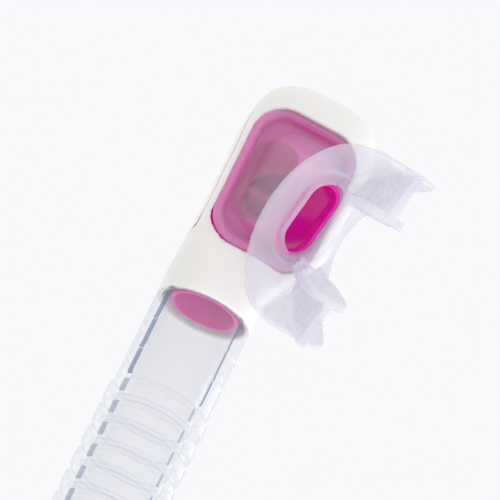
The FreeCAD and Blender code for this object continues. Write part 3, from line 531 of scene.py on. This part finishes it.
def neck_rings():
    """The skirt from the window's edge over a soft bead, down round the neck's foot and up to the port."""
    rings = []
    for inset, y in ((-0.3, -17.3), (-0.3, -18.4), (0.1, -19.1), (0.9, -19.4), (1.6, -19.35), (2.3, -19.0),
                     (2.75, -18.2), (2.95, -17.2), (3.1, -16.3), (3.5, -15.8)):
        rings.append(window_ring(WINDOW_MIDDLE, WINDOW_HALF, inset, y))
    for inset, y in ((-0.7, -15.75), (-0.15, -16.1)):
        rings.append(window_ring(BASE_MIDDLE, BASE_HALF, inset, y))
    start = window_ring(BASE_MIDDLE, BASE_HALF, 0.1, -17.0)
    end = port_ring(2.2, -1.4, STEPS)
    spans = 64
    for step in range(spans + 1):
        share = step / spans
        ring = []
        for first, last in zip(start, end):
            lead = first + Vector((0, -5.5, 0))
            follow = last - WEARER * 5.0
            a, b = 1 - share, share
            ring.append(first * a ** 3 + lead * 3 * a * a * b + follow * 3 * a * b * b + last * b ** 3)
        rings.append(ring)
    return rings


def neck_mesh():
    """The skirt and neck as a thin wall, with the outlines raised on it."""
    rings = neck_rings()
    points = [point * MM for ring in rings for point in ring]
    neck = outward(mesh_object("soft_neck", points, tube_faces(len(rings), STEPS), NECK))
    vertices = neck.data.vertices
    middle = sum((vertex.co for vertex in vertices), Vector()) / len(vertices)
    facing = sum((vertex.co - middle).dot(vertex.normal) for vertex in vertices)
    if facing < 0:
        neck.data.flip_normals()
    normals = [vertex.normal.copy() for vertex in vertices]
    for vertex, normal in zip(vertices, normals):
        vertex.co += normal * raised_outlines(vertex.co / MM) * MM
    return applied(neck, ("SOLIDIFY", {"thickness": 1.0 * MM, "offset": -1.0}))


def arch_point(x, turn, out):
    """A point on the flange: turn goes round the oval of the teeth, and out is away from them."""
    y, z = FLANGE_SIDE * math.sin(turn), FLANGE_FORWARD * (1 - math.cos(turn))
    across = Vector((0, FLANGE_FORWARD * math.sin(turn), -FLANGE_SIDE * math.cos(turn))).normalized()
    return x, y + across.y * out, z + across.z * out


def flange_limits(z):
    """How far the flange reaches towards the nose and the chin at this depth."""
    corner = 10.0
    late = max(z - (FLANGE_END - corner), 0.0)
    cut = corner - math.sqrt(max(corner * corner - late * late, 0.0))
    notch = 1.4 * math.exp(-(z / 2.0) ** 2)
    return -(FLANGE_UP - cut), FLANGE_DOWN - cut - notch


def flange_mesh():
    """The curved flange that sits between lips and gums, thinner towards its beaded edge."""
    last = math.acos(1 - FLANGE_END / FLANGE_FORWARD)
    wide, long = 44, 150
    front, back = [], []
    for i in range(long + 1):
        turn = last * (2 * i / long - 1)
        z = FLANGE_FORWARD * (1 - math.cos(turn))
        low, high = flange_limits(z)
        for j in range(wide + 1):
            share = j / wide
            x = low + (high - low) * share
            edge = min(x - low, high - x, (FLANGE_END - z) * 1.2 + 0.6)
            thick = 0.9 + 1.3 * smoothstep(0.0, 6.0, edge)
            bead = 0.25 * math.exp(-((edge - 0.9) / 0.8) ** 2)
            front.append(from_mouth(*arch_point(x, turn, -0.15 - bead)))
            back.append(from_mouth(*arch_point(x, turn, thick + bead)))
    row = wide + 1
    count = len(front)
    faces = []
    for i in range(long):
        for j in range(wide):
            a = i * row + j
            faces.append((a, a + 1, a + row + 1, a + row))
            faces.append((count + a, count + a + row, count + a + row + 1, count + a + 1))
    rim = ([j for j in range(wide)] + [i * row + wide for i in range(long)]
           + [long * row + wide - j for j in range(wide)] + [(long - i) * row for i in range(long)])
    for here, there in zip(rim, rim[1:] + rim[:1]):
        faces.append((here, there, count + there, count + here))
    return front + back, faces


def blob(middle, radii):
    """An ellipsoid in the mouthpiece's directions."""
    steps = 12
    points, faces = [], []
    for i in range(steps + 1):
        lift = math.pi * i / steps
        for k in range(steps):
            turn = 2 * math.pi * k / steps
            points.append(from_mouth(middle[0] + radii[0] * math.sin(lift) * math.cos(turn),
                                     middle[1] + radii[1] * math.sin(lift) * math.sin(turn),
                                     middle[2] + radii[2] * math.cos(lift)))
    for i in range(steps):
        for k in range(steps):
            after = (k + 1) % steps
            faces.append((i * steps + k, i * steps + after, (i + 1) * steps + after, (i + 1) * steps + k))
    return points, faces


def slab(outline, side, near, far):
    """A plate with this (x, z) outline from y = near(z) to y = far(z), on one side of the mouth."""
    points = [from_mouth(x, side * near(z), z) for x, z in outline]
    points += [from_mouth(x, side * far(z), z) for x, z in outline]
    count = len(outline)
    faces = [tuple(range(count)), tuple(reversed(range(count, 2 * count)))]
    for k in range(count):
        after = (k + 1) % count
        faces.append((k, after, count + after, count + k))
    return points, faces


def lug_inner(z):
    """Half the distance between the two lugs at this depth."""
    return 10.4 + 0.16 * (z - 10)


def outer_wall(z):
    """Half the flange's width at this depth, a little into its wall."""
    share = min(max(1 - z / FLANGE_FORWARD, -1), 1)
    return FLANGE_SIDE * math.sin(math.acos(share)) + 0.6


def tab_pieces(side):
    """One bite tab: the plate between the teeth, its ridges and the lug behind them."""
    pieces = []
    sections = [(3.0 + 28.6 * k / 24) for k in range(25)]
    lug = []
    for k in range(40):
        turn = 2 * math.pi * k / 40
        c, s = math.cos(turn), math.sin(turn)
        x = 8.9 * math.copysign(abs(c) ** 0.75, c)
        z = 21.5 + 9.2 * math.copysign(abs(s) ** 0.7, s) + 1.3 * (abs(x) / 8.9) ** 2
        lug.append((x, z))
    pieces.append(slab(lug, side, lug_inner, lambda z: lug_inner(z) + 2.9))
    half = 1.7
    plate = [(-half, z) for z in sections] + [(half, z) for z in reversed(sections)]
    pieces.append(slab(plate, side, lambda z: lug_inner(z) + 0.8,
                       lambda z: max(outer_wall(z), lug_inner(z) + 2)))
    for face in (-1, 1):
        for k in range(7):
            z = 12.5 + 2.7 * k
            for row in (0.24, 0.5, 0.76):
                y = lug_inner(z) + (outer_wall(z) - lug_inner(z)) * row
                pieces.append(blob((face * half, side * y, z), (0.75, 1.9, 0.62)))
    for k in range(6):
        z = 11.5 + 3.1 * k
        pieces.append(blob((-2.6 - 0.5 * k, side * lug_inner(z), z), (1.5, 0.8, 0.55)))
        pieces.append(blob((4.8 - 0.3 * k, side * lug_inner(z), z), (1.5, 0.8, 0.55)))
    root = [(-2.6, 1.0), (2.6, 1.0), (2.0, 8.0), (1.7, 12.0), (-1.7, 12.0), (-2.0, 8.0)]
    pieces.append(slab(root, side, lambda z: 10.6 + 0.1 * z, lambda z: max(outer_wall(z) - 0.8, 12.5)))
    return pieces


def port_lip():
    """The soft raised lip round the air port."""
    lip_outline = ((-0.2, -1.6), (-0.2, 0.2), (0.4, 1.7), (1.3, 2.2), (2.3, 1.9), (3.1, 0.9), (4.0, -0.2),
                   (2.4, -1.6))
    points = [point for grow, depth in lip_outline for point in port_ring(grow, depth, LIP_STEPS)]
    return points, tube_faces(len(lip_outline), LIP_STEPS, closed=True)


def port_plug():
    """A closed oval rod that cuts the port through lip and flange."""
    points = [point for depth in (-6, 9) for point in port_ring(0, depth, LIP_STEPS)]
    ends = [tuple(range(LIP_STEPS)), tuple(reversed(range(LIP_STEPS, 2 * LIP_STEPS)))]
    return points, tube_faces(2, LIP_STEPS) + ends


def joined(name, pieces, look):
    """One mesh object of several (points, faces) pieces given in mm."""
    points, faces = [], []
    for piece_points, piece_faces in pieces:
        start = len(points)
        points += [point * MM for point in piece_points]
        faces += [tuple(start + index for index in face) for face in piece_faces]
    return outward(mesh_object(name, points, faces, look))


FLANGE_VOXEL = ("REMESH", {"mode": "VOXEL", "voxel_size": 0.36 * MM})
neck = neck_mesh()
soft = joined("soft_mouthpiece", [flange_mesh(), port_lip(), *tab_pieces(-1), *tab_pieces(1)], FLANGE)
plug = joined("port_cutter", [port_plug()], FLANGE)
applied(soft, FLANGE_VOXEL, ("BOOLEAN", {"operation": "DIFFERENCE", "solver": "EXACT", "object": plug}),
        FLANGE_VOXEL, ("SMOOTH", {"factor": 0.5, "iterations": 5}))
bpy.data.objects.remove(plug)
for piece in (soft, neck):
    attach(piece, "chamber")
    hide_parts("mouthpiece")

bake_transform(hose_lower)
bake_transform(hose_upper)

# ---------------------------------------------------------------- floor, light and camera

floor_mesh = bpy.data.meshes.new("floor")
floor_mesh.from_pydata([(-30, -30, -0.42), (30, -30, -0.42), (30, 60, -0.42), (-30, 60, -0.42)], [],
                       [(0, 1, 2, 3)])
floor = bpy.data.objects.new("floor", floor_mesh)
bpy.context.scene.collection.objects.link(floor)
paper, paper_tree, paper_shader = material("paper_floor")
paper_shader.inputs["Base Color"].default_value = (0.0, 0.0, 0.0, 1)
paper_shader.inputs["Roughness"].default_value = 1.0
paper_shader.inputs["Specular IOR Level"].default_value = 0.0
paper_shader.inputs["Emission Color"].default_value = (0.939, 0.947, 0.965, 1)
paper_shader.inputs["Emission Strength"].default_value = 1.0
floor_mesh.materials.append(paper)

world = bpy.data.worlds.new("studio")
bpy.context.scene.world = world
world.use_nodes = True
sky = world.node_tree
background = sky.nodes["Background"]
where = sky.nodes.new("ShaderNodeTexCoord")
aim = sky.nodes.new("ShaderNodeVectorMath")
aim.operation = "DOT_PRODUCT"
aim.inputs[1].default_value = (0.72, -0.62, -0.30)
sky.links.new(where.outputs["Generated"], aim.inputs[0])
shade = sky.nodes.new("ShaderNodeValToRGB")
shade.color_ramp.elements[0].position = 0.30
shade.color_ramp.elements[0].color = (0.95, 0.96, 0.98, 1)
shade.color_ramp.elements[1].position = 0.95
shade.color_ramp.elements[1].color = (0.55, 0.53, 0.51, 1)
sky.links.new(aim.outputs["Value"], shade.inputs["Fac"])
sky.links.new(shade.outputs["Color"], background.inputs["Color"])
background.inputs["Strength"].default_value = 1.0


def soft_light(name, place, target, size, power, colour=(1, 1, 1)):
    lamp = bpy.data.lights.new(name, "AREA")
    lamp.shape = "RECTANGLE"
    lamp.size, lamp.size_y = size
    lamp.energy = power
    lamp.color = colour
    made = bpy.data.objects.new(name, lamp)
    made.location = place
    made.rotation_mode = "QUATERNION"
    made.rotation_quaternion = (Vector(target) - Vector(place)).to_track_quat("-Z", "Y")
    bpy.context.scene.collection.objects.link(made)
    return made


SUBJECT = (0, 0, -0.23)
soft_light("key_light", (-0.5, -0.5, 0.35), SUBJECT, (0.5, 0.5), 2.6)
soft_light("rim_light", (-0.5, 0.3, -0.30), SUBJECT, (0.3, 0.5), 1.4)

BACK = Vector((0.0802, -0.9170, 0.3907))
RIGHT = Vector((-0.8805, -0.2490, -0.4035))
UP = Vector((0.4674, -0.3116, -0.8273))
RIGHT = (RIGHT - RIGHT.dot(BACK) * BACK).normalized()
UP = BACK.cross(RIGHT).normalized()
camera = bpy.data.cameras.new("camera")
camera.sensor_width = 36
camera.lens = 359.6
camera.clip_end = 100
camera_object = bpy.data.objects.new("camera", camera)
spot = Vector((0, 0, RIM * MM)) + (14.1 * RIGHT + 19.2 * UP + 1500 * BACK) * MM
turn = Matrix((RIGHT, UP, BACK)).transposed().to_4x4()
camera_object.matrix_world = Matrix.Translation(spot) @ turn
bpy.context.scene.collection.objects.link(camera_object)
bpy.context.scene.camera = camera_object
bpy.context.scene.view_settings.view_transform = "Standard"
